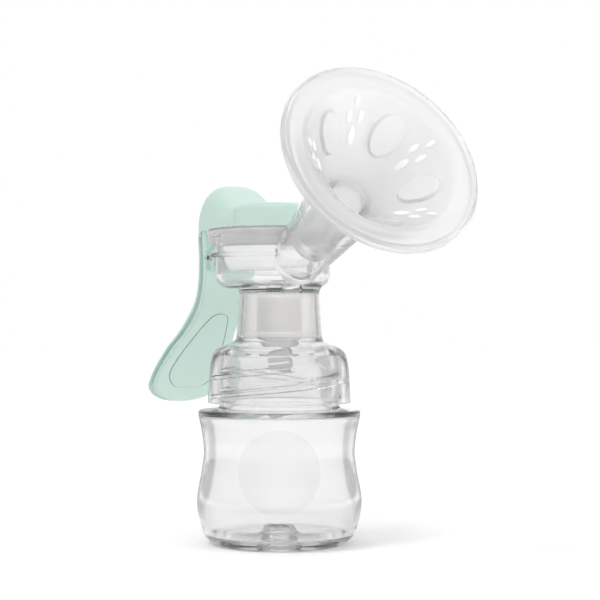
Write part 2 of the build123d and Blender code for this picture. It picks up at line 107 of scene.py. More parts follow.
def gridSkin(points, loopRows, loopColumns):
    # a grid's points and faces: points that fall together, as at poles, are merged, and the skin faces out
    points = np.asarray(points, float) * mm
    rows, columns = points.shape[:2]
    i, j = np.meshgrid(
        np.arange(rows if loopRows else rows - 1),
        np.arange(columns if loopColumns else columns - 1),
        indexing="ij",
    )
    iNext, jNext = (i + 1) % rows, (j + 1) % columns
    quads = np.stack(
        [i * columns + j, iNext * columns + j, iNext * columns + jNext, i * columns + jNext], -1
    ).reshape(-1, 4)
    flat = points.reshape(-1, 3)
    keys = np.round(flat / mergeWithin).astype(np.int64)
    _, first, back = np.unique(keys, axis=0, return_index=True, return_inverse=True)
    flat, quads = flat[first], back.reshape(-1)[quads]
    a, b, c, d = (flat[quads[:, k]] for k in range(4))
    volume = (np.einsum("ij,ij->i", a, np.cross(b, c)) + np.einsum("ij,ij->i", a, np.cross(c, d))).sum()
    if volume < 0:
        quads = quads[:, ::-1]
    faces = []
    for quad in quads.tolist():
        corners = [v for k, v in enumerate(quad) if v != quad[k - 1]]
        if len(set(corners)) == len(corners) > 2:
            faces.append(corners)
    return flat, faces


def meshPiece(name, grids, material, loopRows=False, loopColumns=True):
    # grids are arrays of points[i, j] in millimetres, rows along the first index, all in one mesh
    flat, faces, count = [], [], 0
    for grid in grids:
        points, skin = gridSkin(grid, loopRows, loopColumns)
        faces += [[v + count for v in face] for face in skin]
        flat.append(points)
        count += len(points)
    flat = np.vstack(flat)
    mesh = bpy.data.meshes.new(name)
    mesh.from_pydata(flat.tolist(), [], faces)
    mesh.validate()
    mesh.polygons.foreach_set("use_smooth", [True] * len(mesh.polygons))
    mesh.set_sharp_from_angle(angle=math.radians(sharpAngle))
    mesh.materials.append(material)
    piece = bpy.data.objects.new(name, mesh)
    bpy.context.scene.collection.objects.link(piece)
    return piece


def faceCentres(piece):
    # the middle of each face, in millimetres
    centres = np.empty(3 * len(piece.data.polygons))
    piece.data.polygons.foreach_get("center", centres)
    return centres.reshape(-1, 3) / mm


def coverFaces(piece, index):
    # gives each face the material with that number
    piece.data.polygons.foreach_set("material_index", index.astype(np.int32))


def smoothLine(points, count, fineness=24):
    # a Catmull-Rom curve through the points, evenly spaced by length
    points = np.asarray(points, float)
    ends = np.vstack([2 * points[0] - points[1], points, 2 * points[-1] - points[-2]])
    t = np.linspace(0, 1, fineness, endpoint=False)[:, None]
    p0, p1, p2, p3 = (ends[k:len(ends) - 3 + k, None, :] for k in range(4))
    curve = 0.5 * (
        2 * p1 + (p2 - p0) * t + (2 * p0 - 5 * p1 + 4 * p2 - p3) * t ** 2
        + (3 * p1 - p0 - 3 * p2 + p3) * t ** 3
    )
    curve = np.vstack([curve.reshape(-1, points.shape[1]), points[-1:]])
    return spaced(curve, count)


def spaced(line, count):
    # the same line with its points evenly spaced
    line = np.asarray(line, float)
    run = np.concatenate([[0], np.cumsum(np.linalg.norm(np.diff(line, axis=0), axis=1))])
    at = np.linspace(0, run[-1], count)
    return np.stack([np.interp(at, run, line[:, k]) for k in range(line.shape[1])], -1)


def rounded(points, radii, steps=6):
    # a polyline whose corners are turned into arcs: a corner keeps its place where its radius is 0
    points = [np.asarray(p, float) for p in points]
    line = [points[0]]
    for before, corner, after, radius in zip(points, points[1:], points[2:], radii):
        inward, outward = before - corner, after - corner
        sizeIn, sizeOut = np.linalg.norm(inward), np.linalg.norm(outward)
        if radius <= 0:
            line.append(corner)
            continue
        inward, outward = inward / sizeIn, outward / sizeOut
        half = math.acos(max(-1, min(1, float(inward @ outward)))) / 2
        cut = min(radius / math.tan(half), 0.49 * sizeIn, 0.49 * sizeOut)
        centre = corner + (inward + outward) / np.linalg.norm(inward + outward) * cut / math.cos(half)
        size = cut * math.tan(half)
        start, end = corner + inward * cut - centre, corner + outward * cut - centre
        sweep = math.pi - 2 * half
        for k in range(steps + 1):
            share = k / steps
            mix = (math.sin((1 - share) * sweep) * start + math.sin(share * sweep) * end) / math.sin(sweep)
            line.append(centre + mix / np.linalg.norm(mix) * size)
    line.append(points[-1])
    return np.array(line)


def refined(line, step):
    # extra points on every run longer than the step, so that a relief can follow it
    out = [line[:1]]
    for a, b in zip(line, line[1:]):
        parts = max(1, int(math.ceil(np.linalg.norm(b - a) / step)))
        out.append(a + (b - a) * np.linspace(0, 1, parts + 1)[1:, None])
    return np.vstack(out)


def turned(profile, columns, origin=(0, 0, 0), axis=(0, 0, 1), side=(1, 0, 0), extra=None):
    # a profile of (radius, height) turned round an axis; extra adds to the radius at each row and column
    origin, axis, side = (np.asarray(v, float) for v in (origin, axis, side))
    other = np.cross(axis, side)
    t = np.linspace(0, 2 * math.pi, columns, endpoint=False)
    radius = profile[:, :1] + (0 if extra is None else extra)
    outward = np.cos(t)[:, None] * side + np.sin(t)[:, None] * other
    return origin + radius[..., None] * outward[None] + profile[:, 1, None, None] * axis


def eased(x):
    # a smooth step from 0 to 1
    x = np.clip(x, 0, 1)
    return x * x * (3 - 2 * x)


# polypropylene, injection moulded: glass clear with a faint haze and slow sink waviness; its IOR and the
# silicones' below are matched, under the usual 1.49 and 1.41
clearPlastic = mouldedMaterial("moulded clear polypropylene", {
    "Base Color": linear("#FBFBFB"), "Roughness": 0.06, "IOR": 1.32, "Transmission Weight": 0.965,
    "Coat Weight": 0.4, "Coat Roughness": 0.02,
}, waves=(14.0, 0.02), absorbs=9.0)
# silicone rubber, compression moulded: milky, light passes but no picture does
milkySilicone = mouldedMaterial("moulded milky silicone", {
    "Base Color": linear("#FFFFFF"), "Roughness": 0.3, "IOR": 1.36, "Transmission Weight": 0.62,
    "Coat Weight": 0.6, "Coat Roughness": 0.1,
}, grain=(0.5, 0.002), absorbs=2.0)
# where the same rubber is a thin sleeve, most light goes straight on
thinSilicone = mouldedMaterial("thin milky silicone", {
    "Base Color": linear("#F6F6F6"), "Roughness": 0.3, "IOR": 1.14, "Transmission Weight": 0.88,
})
# the same rubber in a thicker, whiter batch
whiteSilicone = mouldedMaterial("moulded white silicone", {
    "Base Color": linear("#FFFEFB"), "Roughness": 0.36, "IOR": 1.16, "Transmission Weight": 0.5,
}, grain=(0.5, 0.004))
# painted shade: the valve's hollow, the same white silicone made darker where less light reaches
paintedShadeSilicone = mouldedMaterial("white silicone with painted shade", {
    "Base Color": linear("#B9B7B6"), "Roughness": 0.45, "IOR": 1.3,
})
# unfilled silicone of the diaphragm: its flexed skin looks cloudy, with a clear gloss
clearSilicone = mouldedMaterial("moulded cloudy silicone", {
    "Base Color": linear("#FDFDFD"), "Roughness": 0.34, "IOR": 1.3, "Transmission Weight": 0.55,
    "Coat Weight": 0.7, "Coat Roughness": 0.05,
}, waves=(9.0, 0.03))
# its skirt is drawn tight over the rim, and stays clear
skirtSilicone = mouldedMaterial("stretched clear silicone", {
    "Base Color": linear("#FDFDFD"), "Roughness": 0.08, "IOR": 1.38, "Transmission Weight": 0.9,
    "Coat Weight": 0.6, "Coat Roughness": 0.02,
}, waves=(9.0, 0.03), absorbs=6.0)
# white ABS with the mould's fine satin
whitePlastic = mouldedMaterial("moulded white ABS", {
    "Base Color": linear("#F2F2F0"), "Roughness": 0.35, "IOR": 1.53,
}, grain=(0.6, 0.004))
# mint polypropylene, spark-eroded mould: satin with a soft sheen
mintPlastic = mouldedMaterial("satin mint polypropylene", {
    "Base Color": linear("#C2D9D0"), "Roughness": 0.36, "IOR": 1.49,
}, waves=(22.0, 0.03), grain=(0.7, 0.004))
# overmoulded elastomer, a shade deeper and duller
mintRubber = mouldedMaterial("soft touch mint elastomer", {
    "Base Color": linear("#C1D8CF"), "Roughness": 0.5, "IOR": 1.5,
}, grain=(0.6, 0.006))
# screen-printed matt film: a breath of pale grey
frostedFilm = mouldedMaterial("matt screen-printed film", {
    "Base Color": linear("#B4B4B2"), "Roughness": 0.6, "IOR": 1.45, "Alpha": 0.05,
})
# solid white silicone of the studs
studSilicone = mouldedMaterial("solid white silicone", {
    "Base Color": linear("#FFFFFF"), "Roughness": 0.4, "IOR": 1.41,
})
print("materials made")

# lengths in the pieces' dictionaries are in millimetres; the bottle's lines are (radius, height)
bottle = {
    "outside": [(33.9, 8.6), (35.5, 18.7), (33.4, 31.6), (32.5, 40.0), (33.5, 48.8), (34.8, 55.0)],
    "inside": [(32.8, 53.6), (31.6, 48.6), (30.7, 40.0), (31.6, 31.4), (33.7, 18.9), (32.2, 9.6)],
    "wallFoot": (31.9, 3.4), "footRadius": 28.0, "floorHeight": 4.0,
    "neckRadius": 25.0, "neckTop": 80.6, "mouthRadius": 22.6,
    "columns": 240, "wallRows": 70,
}
thread = {
    "lead": 16.0, "starts": 2, "rise": 12.6, "height": 1.3, "root": 2.2, "crest": 1.1,
    "startHeight": 65.1, "wall": (62.5, 79.0),   # height of a ridge's lower end, and of the ridged wall
    "startAngle": -117.65, "runOut": 12.0,       # degrees, runOut is where a ridge fades at its ends
}


def threadRelief(heights, columns):
    # ridge height over a wall: a flat-topped ridge about each helix, fading out at both ends
    angle = np.degrees(np.linspace(0, 2 * math.pi, columns, endpoint=False))[None, :]
    z = heights[:, None]
    relief = np.zeros((len(heights), columns))
    sweep = thread["rise"] / thread["lead"] * 360
    for start in range(thread["starts"]):
        along = (angle - thread["startAngle"] - start * 360 / thread["starts"]) % 360
        middle = thread["startHeight"] + along / 360 * thread["lead"]
        flank = (thread["root"] / 2 - np.abs(z - middle)) / ((thread["root"] - thread["crest"]) / 2)
        fade = eased(along / thread["runOut"]) * eased((sweep - along) / thread["runOut"])
        relief = np.maximum(relief, eased(flank) * fade * thread["height"])
    return relief


def bottleWall():
    # the outer wall from foot to shoulder, a smooth curve
    return smoothLine([bottle["wallFoot"]] + bottle["outside"], bottle["wallRows"])


def makeBottle():
    # a closed profile turned round Z, from the middle of its foot out, up, in at the mouth and down inside
    b = bottle
    neck, mouth, top = b["neckRadius"], b["mouthRadius"], b["neckTop"]
    foot = rounded(
        [(0, 6.8), (4.2, 6.6), (7.4, 2.6), (7.4, 1.4), (20.5, 2.2), (24.5, 0), (b["footRadius"], 0),
         (31.7, 3.0), b["outside"][0]],
        [0, 1.2, 0.5, 0.5, 3.0, 1.0, 3.5, 6.0, 0], 8,
    )
    wall = bottleWall()
    shoulder = rounded(
        [wall[-1], (34.9, 57.5), (26.4, 58.5), (25.7, 59.2), (25.7, 60.9), (neck, 61.5), (neck, 62.4)],
        [2.2, 0.5, 0.4, 0.3, 0.3], 10,
    )
    rows = b["wallRows"]
    ridges = np.stack([np.full(rows, neck), np.linspace(*thread["wall"], rows)], -1)
    rim = rounded([(neck, 79.1), (neck, top), (mouth, top), (mouth, 70.0)], [1.2, 1.1], 8)
    inner = rounded([(mouth, 69.0), (mouth, 56.6), (33.0, 55.4), (32.8, 53.6)], [2.0, 1.8], 10)
    bore = smoothLine(b["inside"] + [(31.2, 6.8)], rows)
    low = b["floorHeight"]
    floor = rounded(
        [bore[-1], (30.4, low), (9.5, low + 0.2), (6.0, 8.0), (4.4, 8.6), (0, 8.6)],
        [3.0, 1.5, 1.2, 1.0], 8,
    )
    profile = np.vstack([foot[:-2], wall, shoulder[1:], ridges, rim, inner, bore, floor[1:]])
    relief = np.zeros((len(profile), b["columns"]))
    onNeck = np.abs(profile[:, 0] - neck) < 1e-6
    relief[onNeck] = threadRelief(profile[onNeck, 1], b["columns"])
    piece = meshPiece("bottleShell", [turned(profile, b["columns"], extra=relief)], clearPlastic)
    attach(piece, "bottle_base")
    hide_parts("bottle")


badge = {"radius": 17.7, "height": 33.0, "heading": -27.65, "lift": 0.05, "thickness": 0.12}


def makeBadge():
    # a frosted round film on the bottle's wall: a disc of (radius, turn) wrapped on the turned profile
    ring = np.linspace(0, 1, 24)[:, None] * badge["radius"]
    turn = np.linspace(0, 2 * math.pi, 96, endpoint=False)[None, :]
    across, up = ring * np.cos(turn), badge["height"] + ring * np.sin(turn)
    wall = bottleWall()
    radius = np.interp(up, wall[:, 1], wall[:, 0])
    angle = math.radians(badge["heading"]) + across / radius

    def skin(lift):
        return np.stack([(radius + lift) * np.cos(angle), (radius + lift) * np.sin(angle), up], -1)

    film = np.vstack([skin(badge["lift"]), skin(badge["lift"] + badge["thickness"])[::-1]])
    piece = meshPiece("frostedBadge", [film], frostedFilm)
    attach(piece, "bottle_base")


makeBottle()
makeBadge()
print("bottle made")


# the funnel leans up from the X axis by that many degrees, and its mouth is at (X, Y, Z)
funnel = {"mouth": (86.2, 0.0, 159.4), "lean": 28.4}
lean = math.radians(funnel["lean"])
funnelAxis = np.array([math.cos(lean), 0, math.sin(lean)])
funnelUp = np.array([-math.sin(lean), 0, math.cos(lean)])
funnelSide = np.array([0, 1.0, 0])
cushion = {
    # (radius, distance along the axis from the mouth)
    "throat": (9.6, -28.9), "brim": (29.9, -3.5), "band": (32.6, -0.2),
    "lip": 42.5, "brimRound": 8.0, "tunnel": 7.1, "tunnelEnd": -65.0, "columns": 420, "coneRows": 130,
    "petals": 5, "petalAngle": 54.0, "petalRadius": 22.6, "petalLong": 9.9, "petalWide": 6.6,
    "petalStep": 0.9, "petalHeight": 1.4,
    # a group of studs: degrees aside, radius, half length and half width of each
    "dotAngle": 92.0,
    "dots": [(0.0, 19.9, 3.9, 1.45), (-6.0, 25.0, 2.7, 1.1), (6.0, 25.0, 2.7, 1.1), (0.0, 29.0, 2.3, 0.95)],
    "dotHeight": 0.45, "dotDepth": 0.3, "clearBelow": -40.0,
}
coneRun = np.array(cushion["brim"]) - np.array(cushion["throat"])
coneRun = coneRun / np.linalg.norm(coneRun)
coneFacing = np.array([-coneRun[1], coneRun[0]])      # out of the cone's face, as (radius, along the axis)


def onFunnel(radius, along, angle):
    # a point at that radius and angle about the funnel's axis, at that distance along it from the mouth
    radius, along, angle = np.broadcast_arrays(radius, along, angle)
    around = np.cos(angle)[..., None] * funnelSide + np.sin(angle)[..., None] * funnelUp
    return np.array(funnel["mouth"]) + radius[..., None] * around + along[..., None] * funnelAxis


def petalRelief(radius, angle):
    # height of the oval pads: a plateau inside each oval, with an eased step all round
    c = cushion
    relief = np.zeros(np.broadcast_shapes(radius.shape, angle.shape))
    for k in range(c["petals"]):
        turn = math.radians(c["petalAngle"] + k * 360 / c["petals"])
        aside = (angle - turn + math.pi) % (2 * math.pi) - math.pi
        alongSlope = (radius - c["petalRadius"]) / coneRun[0]
        wide = c["petalWide"] * (1 + 0.14 * alongSlope / c["petalLong"])
        oval = np.sqrt((alongSlope / c["petalLong"]) ** 2 + (radius * aside / wide) ** 2)
        inside = (1 - oval) * c["petalWide"] / c["petalStep"]
        crown = 1 + 0.35 * np.clip(1 - oval, 0, 1)
        relief = np.maximum(relief, eased(inside) * crown * c["petalHeight"])
    return relief


def makeCushion():
    # a closed profile of (radius, along) turned round the funnel's axis, its cone raised by the petal relief
    c = cushion
    throat, brim, tunnel, lip = c["throat"], c["brim"], c["tunnel"], c["lip"]
    front = rounded(
        [(tunnel, c["tunnelEnd"]), (tunnel, -31.2), (throat[0] - 0.5, -30.4), throat, brim],
        [0.8, 0.4, 0.3], 5,
    )
    cone = spaced([front[-2], brim], c["coneRows"])
    edge = rounded(
        [brim, c["band"], (lip - 1.0, 0.0), (lip, -1.4), (lip - 0.2, -2.8), (41.0, -4.8), (40.1, -4.6),
         (40.1, -2.2), (33.8, -2.4), (32.0, -3.6)],
        [c["brimRound"], 0.8, 0.8, 0.8, 0.4, 0.3, 0.3, 0.8], 9,
    )
    back = rounded(
        [(32.0, -3.6), (10.9, -29.8), (8.9, -34.6), (8.9, -58.0), (9.9, -59.2), (9.8, -61.2),
         (8.7, -62.4), (8.7, c["tunnelEnd"]), (tunnel, c["tunnelEnd"])],
        [2.0, 2.0, 0.3, 0.3, 0.3, 0.3, 0.0], 5,
    )
    profile = np.vstack([front[:-2], cone, edge[1:], back[1:-1]])
    angle = np.linspace(0, 2 * math.pi, c["columns"], endpoint=False)[None, :]
    relief = np.zeros((len(profile), c["columns"]))
    onCone = slice(len(front) - 2, len(front) - 2 + len(cone))
    relief[onCone] = petalRelief(profile[onCone, :1], angle)
    points = onFunnel(
        profile[:, :1] + relief * coneFacing[0], profile[:, 1:] + relief * coneFacing[1], angle
    )
    piece = meshPiece("cushionSkin", [points], milkySilicone, loopRows=True)
    # the thin tunnel is clear, and the cup is milky
    piece.data.materials.append(thinSilicone)
    depth = (faceCentres(piece) - np.array(funnel["mouth"])) @ funnelAxis
    coverFaces(piece, depth < c["clearBelow"])
    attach(piece, "cushion")
    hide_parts("massage_cushion")


def makeDots():
    # leaf-shaped studs on the cone, in groups of four between the petals: each is a flat dome over a leaf
    c = cushion
    ring = np.linspace(0, 1, 7)[:, None]
    turn = np.linspace(0, 2 * math.pi, 20, endpoint=False)[None, :]
    studs = []
    for group in range(c["petals"]):
        for aside, radius, long, wide in c["dots"]:
            middle = math.radians(c["dotAngle"] + group * 360 / c["petals"] + aside)
            alongSlope = ring * long * np.cos(turn)
            leaf = ring * wide * np.sin(turn) * (1 - 0.18 * np.abs(np.cos(turn)) ** 3)
            at = radius + alongSlope * coneRun[0]
            depth = c["brim"][1] + (at - c["brim"][0]) * coneRun[1] / coneRun[0]
            angle = middle + leaf / at

            def skin(height):
                return onFunnel(at + height * coneFacing[0], depth + height * coneFacing[1], angle)

            top = skin(c["dotHeight"] * np.sqrt(1 - 0.9 * ring ** 2))
            foot = skin(-c["dotDepth"] * np.ones_like(ring))
            studs.append(np.vstack([top, foot[::-1]]))
    piece = meshPiece("cushionStuds", studs, studSilicone)
    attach(piece, "cushion")


makeCushion()
makeDots()
print("cushion made")


inside = {
    "cupAxis": (-6.3, 0, 0), "skirtFrom": 22.0,      # radius where the diaphragm's skirt begins
    "valveFoot": 88.4, "valveTop": 106.9, "beakFoot": 73.0,
    "beakOutside": 1.5, "beakSlit": 0.35,            # half thickness of the beak's tip and of its slit
    "hollow": {"radius": 9.8, "overFoot": 2.4, "underTop": 2.2},     # the valve's shaded faces
}


def makeValve():
    # a wide ring turned round Z, whose lower part is pinched across Y into a flat beak
    foot, top, tip = inside["valveFoot"], inside["valveTop"], inside["beakFoot"]
    outside = rounded(
        [(9.6, tip), (9.6, tip + 0.1), (10.6, foot - 0.2), (15.4, foot), (15.4, foot + 1.9),
         (14.8, foot + 2.6), (14.5, top), (9.0, top), (9.0, top - 1.8)],
        [0, 0.5, 0.6, 0.4, 0.4, 1.0, 0.4], 5,
    )
    inner = rounded(
        [(9.0, top - 1.8), (8.2, top - 2.6), (8.4, foot + 3.0), (9.2, foot), (8.4, tip + 0.1),
         (8.4, tip)],
        [0.3, 0.6, 1.0, 0], 5,
    )
    profile = refined(np.vstack([outside, inner[1:]]), 0.7)
    points = turned(profile, 160)
    pinch = np.clip((foot - profile[:, 1]) / (foot - tip), 0, 1)
    isOutside = np.arange(len(profile)) < len(profile) / 2
    wall = np.where(isOutside, inside["beakOutside"], inside["beakSlit"])
    thin = 1 - pinch * (1 - wall / np.maximum(profile[:, 0], 1))
    points[..., 1] *= thin[:, None]
    piece = meshPiece("valveRubber", [points], whiteSilicone, loopRows=True)
    piece.data.materials.append(paintedShadeSilicone)
    piece.data.materials.append(thinSilicone)
    # faces inside the valve's hollow get the painted shade; faces of the beak get the thin rubber
    middle = faceCentres(piece)
    radius, height = np.hypot(middle[:, 0], middle[:, 1]), middle[:, 2]
    within = inside["hollow"]
    hollow = (radius < within["radius"]) & (height > foot + within["overFoot"])
    hollow = hollow & (height < top - within["underTop"])
    beak = 2 * (height < foot - 0.4)
    coverFaces(piece, hollow + beak)
    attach(piece, "valve_carrier")
    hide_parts("duckbill_valve")


def makeDiaphragm():
    # a closed profile turned round the cup's axis: skirt over the rim, bowl down to the stem
    line = rounded(
        [(2.5, 117.4), (19.0, 117.4), (20.8, 121.4), (22.5, 130.0), (22.5, 134.7), (26.3, 134.7),
         (26.3, 132.3), (25.7, 131.5), (25.7, 128.2), (27.2, 128.2), (28.6, 135.8), (20.9, 135.8),
         (20.9, 130.3), (19.2, 121.9), (17.6, 119.0), (2.5, 119.0), (2.5, 117.4)],
        [2.5, 1.5, 1.0, 0.4, 0.3, 0.3, 0.3, 0.3, 0.5, 1.2, 1.2, 1.0, 1.2, 1.2, 0],
        6,
    )
    profile = refined(line, 0.8)[:-1]
    piece = meshPiece(
        "diaphragmRubber", [turned(profile, 200, origin=inside["cupAxis"])], clearSilicone, loopRows=True
    )
    piece.data.materials.append(skirtSilicone)
    middle = faceCentres(piece)
    coverFaces(piece, np.hypot(middle[:, 0] - inside["cupAxis"][0], middle[:, 1]) > inside["skirtFrom"])
    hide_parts("diaphragm")
    piece.visible_shadow = piece.visible_diffuse = False     # lamps reach what is inside it
    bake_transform(piece)


def makeStem():
    # a profile turned round the cup's axis: plate, collar, rod and the ball that the lever carries
    ball = [(3.5 * math.sin(t), 140.0 - 3.5 * math.cos(t)) for t in np.linspace(0.66, math.pi, 24)]
    line = rounded(
        [(0, 115.0), (7.6, 115.0), (7.6, 117.35), (2.1, 117.35), (2.1, 119.05), (6.2, 119.05), (6.2, 120.3),
         (3.2, 121.6), (2.1, 125.4), (2.1, 136.6), ball[0]],
        [0.6, 0.3, 0, 0, 0.3, 0.4, 1.0, 2.0, 0.6], 6,
    )
    profile = np.vstack([refined(line, 1.5), ball[1:]])
    piece = meshPiece("stemRod", [turned(profile, 72, origin=inside["cupAxis"])], whitePlastic)
    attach(piece, "stem_rod")
    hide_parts("stem")


makeValve()
makeDiaphragm()
makeStem()
print("valve, diaphragm and stem made")


handle = {
    # side view of the lever's inner face, tip first, as (X, Z)
    "innerLine": [(-102.0, 55.0), (-97.0, 61.0), (-90.0, 70.0), (-80.6, 79.5), (-69.0, 89.5),
                  (-58.0, 99.0), (-51.2, 109.0), (-47.4, 121.0), (-46.2, 133.4), (-45.9, 138.0)],
    "head": 133.4, "innerHead": 137.2,
    "thickness": 8.0, "outerShell": 3.0, "seam": 3.4, "seamInset": 1.6,
    "tip": 56.6, "nose": 10.0, "edge": 2.6, "leverAcross": 4.6, "leverUp": 3.2,
    # front view: half width at heights
    "halfWidths": [(18.0, 56.0), (18.0, 66.5), (17.2, 73.5), (15.2, 83.0), (12.8, 90.0), (11.9, 97.5),
                   (12.0, 107.0), (13.2, 120.0), (14.4, 133.4)],
    # the hump and arm: outer point, inner point, half width, roundness across and up
    "hump": [
        ((-54.15, 138.5), (-49.6, 134.3), 14.6, 3.9, 3.1), ((-53.8, 144.0), (-49.1, 135.0), 14.9, 3.4, 3.0),
        ((-52.6, 149.6), (-48.6, 135.5), 15.0, 3.1, 2.9), ((-50.2, 153.6), (-48.0, 135.8), 15.0, 3.0, 2.9),
        ((-47.0, 155.9), (-47.2, 136.0), 15.0, 3.0, 3.0), ((-43.4, 156.6), (-46.0, 136.1), 15.0, 3.0, 3.0),
        ((-39.6, 155.7), (-43.2, 136.2), 15.0, 3.1, 3.0), ((-36.0, 153.8), (-39.0, 136.2), 15.0, 3.1, 3.0),
        ((-32.0, 151.3), (-34.0, 136.1), 14.9, 3.2, 2.9), ((-28.0, 149.2), (-29.0, 135.8), 14.7, 3.3, 2.8),
        ((-24.0, 147.8), (-24.4, 135.4), 14.4, 3.4, 2.8), ((-20.0, 146.9), (-20.2, 135.1), 14.0, 3.5, 2.8),
        ((-15.0, 146.2), (-15.0, 134.9), 13.6, 3.6, 2.8), ((-10.0, 145.6), (-10.0, 134.8), 13.2, 3.6, 2.8),
    ],
    "hoodX": -6.3, "hoodRadius": 17.2, "hoodTop": 146.5, "hoodFoot": 134.4,
    "hoodDraft": 0.3, "hoodRound": 3.2,
    # length, width, foot, top and X of the ball's pocket, and of the slot that the stem comes through
    "hoodCuts": [(20.0, 9.4, 136.1, 144.9, -1.7), (15.4, 5.6, 133.0, 139.4, -2.1)],
    # the pad's outline: half width at heights
    "pad": [(0.0, 63.4), (7.6, 64.8), (11.8, 71.0), (9.9, 81.0), (6.6, 91.5), (3.8, 97.4), (0.0, 99.0)],
    "padPocket": 0.7, "padProud": 0.35, "padGap": 0.35,
}
leverLine = smoothLine(handle["innerLine"], 160)
leverWidths = smoothLine(handle["halfWidths"], 160)
padLine = smoothLine(handle["pad"], 80)


def leverX(height, offset):
    # X of the line parallel to the inner face, that far behind it, at those heights
    run = np.gradient(leverLine, axis=0)
    run = run / np.linalg.norm(run, axis=1)[:, None]
    moved = leverLine + offset * np.stack([-run[:, 1], run[:, 0]], -1)
    return np.interp(height, moved[:, 1], moved[:, 0])


def halfWidth(height):
    # half width of the lever, closing in a round nose at its tip
    full = np.interp(height, leverWidths[:, 1], leverWidths[:, 0])
    share = np.clip((height - handle["tip"]) / handle["nose"], 0, 1)
    return full * np.sqrt(1 - (1 - share) ** 2)


def leverHeights(head, step=0.8):
    # rows from tip to head, crowded where the nose closes
    tip, nose = handle["tip"], handle["nose"]
    closing = tip + nose * (1 - np.cos(np.linspace(0, math.pi / 2, 26)))
    return np.concatenate([closing, np.arange(tip + nose + step, head, step), [head]])


def makeOuterShell():
    # sections from tip to hood: nearly flat below, a rounded hull above, |y/w|^n + q^m = 1,
    # between the outer and inner side lines
    h = handle
    z = leverHeights(h["head"])
    thick = h["thickness"] - h["outerShell"]
    edge = np.clip((z - h["tip"]) / h["edge"], 0, 1)
    body = np.sqrt(1 - (1 - edge) ** 2)
    split = leverX(z, thick)
    inner = np.stack([split, z], -1)
    outer = np.stack([split + (leverX(z, h["thickness"]) - split) * body, z], -1)
    lever = np.column_stack([outer, inner, halfWidth(z),
                             np.full(len(z), h["leverAcross"]), np.full(len(z), h["leverUp"])])
    hump = np.array([[*o, *i, w, n, m] for o, i, w, n, m in h["hump"]])
    # the hump and arm follow a smooth curve through their sections
    head = smoothLine(np.vstack([lever[-2:], hump]), 110)
    sections = np.vstack([lever[:-2], head])
    dome = np.linspace(0, math.pi, 73)
    under = np.linspace(math.pi, 2 * math.pi, 25)[1:-1]
    sag = 0.04               # share of the height by which the flat side bulges

    def hull(rows):
        across = np.abs(np.cos(dome)) ** (2 / rows[:, 5:6]) * np.sign(np.cos(dome))
        up = np.abs(np.sin(dome)) ** (2 / rows[:, 6:7])
        flat = np.abs(np.cos(under)) ** 0.2 * np.sign(np.cos(under)) * np.ones((len(rows), 1))
        down = -sag * np.abs(np.sin(under)) ** 0.2 * np.ones((len(rows), 1))
        return np.hstack([across, flat]), np.hstack([up, down])

    across, up = hull(sections)
    share = (up + sag) / (1 + sag)
    x = sections[:, 2:3] + (sections[:, 0:1] - sections[:, 2:3]) * share
    rise = sections[:, 3:4] + (sections[:, 1:2] - sections[:, 3:4]) * share
    y = across * sections[:, 4:5]
    body = np.stack([x, y, rise], -1)
    lid = np.broadcast_to(body[-1:].mean(axis=1, keepdims=True), body[-1:].shape)
    piece = meshPiece("handleOuter", [np.vstack([body, lid])], mintPlastic)
    # the hood is a round-edged drum over the stem, and the arm runs into it
    radius, low, high = h["hoodRadius"], h["hoodFoot"], h["hoodTop"]
    drum = rounded(
        [(0, low), (radius, low), (radius - h["hoodDraft"], high - 0.3), (0, high)],
        [0.8, h["hoodRound"]], 12,
    )
    combine(piece, turned(drum, 160, origin=(h["hoodX"], 0, 0)), "UNION")
    return piece


def stadium(length, width, low, high, x, steps=48):
    # a closed prism with round ends, along X
    turn = np.linspace(0, 2 * math.pi, steps, endpoint=False)
    ring = np.stack([
        x + np.sign(np.cos(turn)) * (length - width) / 2 + np.cos(turn) * width / 2,
        np.sin(turn) * width / 2, np.full(steps, low),
    ], -1)
    lid = ring + [0, 0, high - low]
    middle = np.array([x, 0, 0])
    foot, top = (np.repeat([middle + [0, 0, z]], steps, axis=0) for z in (low, high))
    return np.stack([foot, ring, lid, top])


def combine(piece, grid, operation):
    # joins a closed shape to a piece or cuts it out, and keeps only the result
    other = meshPiece("other", [grid], mintPlastic)
    join = piece.modifiers.new("join", "BOOLEAN")
    join.operation, join.solver, join.object = operation, "EXACT", other
    bpy.context.view_layer.update()
    shape = bpy.data.meshes.new_from_object(piece.evaluated_get(bpy.context.evaluated_depsgraph_get()))
    piece.modifiers.clear()
    piece.data = shape
    bpy.data.objects.remove(other)


